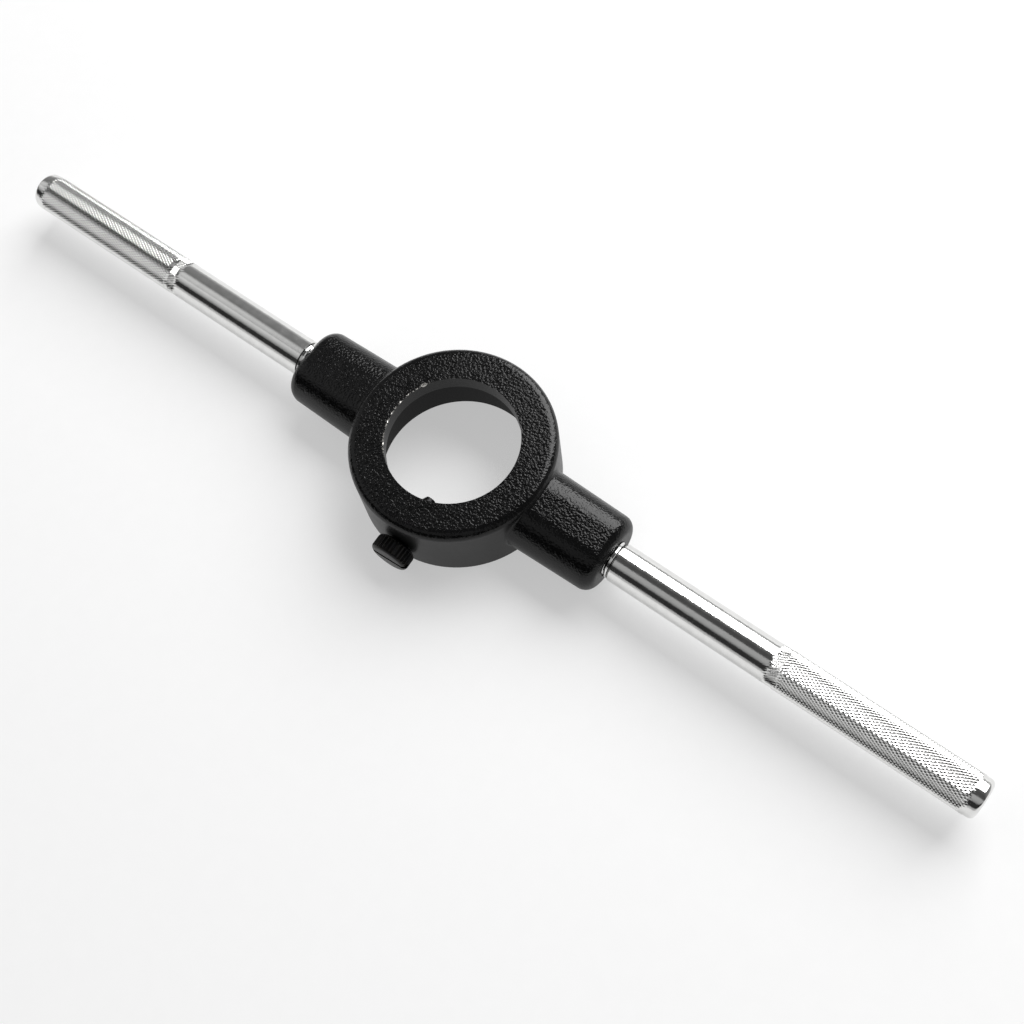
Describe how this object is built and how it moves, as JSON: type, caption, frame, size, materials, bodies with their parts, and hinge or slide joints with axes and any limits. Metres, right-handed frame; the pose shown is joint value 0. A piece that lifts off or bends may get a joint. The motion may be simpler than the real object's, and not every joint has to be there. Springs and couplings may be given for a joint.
{
  "type": "round die stock",
  "caption": "Round die stock: a cast ring with a shouldered die pocket, a knurled thumb screw that holds the die, and screwed-in knurled handles.",
  "frame": {"origin": "where the ring's axis crosses the handles' axis, at the middle of the ring's height", "axes": "+Z along the ring's axis out of the shouldered side, so the die pocket opens towards -Z; the handles lie along X; the thumb screw stands out towards -Y"},
  "size_m": [0.2726, 0.0529, 0.018],
  "materials": {
    "black_casting": "textured black enamel on cast steel",
    "plated_steel": "bright plated, diamond knurled at the grips",
    "black_oxide_steel": "black oxide, straight knurled head"
  },
  "bodies": {
    "stock": {"stock_body": "black_casting"},
    "left_bar": {"left_handle": "plated_steel"},
    "right_bar": {"right_handle": "plated_steel"},
    "clamp_screw": {"thumb_screw": "black_oxide_steel"}
  },
  "joints": [
    {"name": "thumb_screw_travel", "type": "slide", "parent": "stock", "child": "clamp_screw", "axis": [0.0523, -0.9986, 0], "range_m": [0, 0.0079]},
    {"name": "left_handle_unscrew", "type": "slide", "parent": "stock", "child": "left_bar", "axis": [-1, 0, 0], "range_m": [0, 0.014]},
    {"name": "right_handle_unscrew", "type": "slide", "parent": "stock", "child": "right_bar", "axis": [1, 0, 0], "range_m": [0, 0.014]}
  ]
}
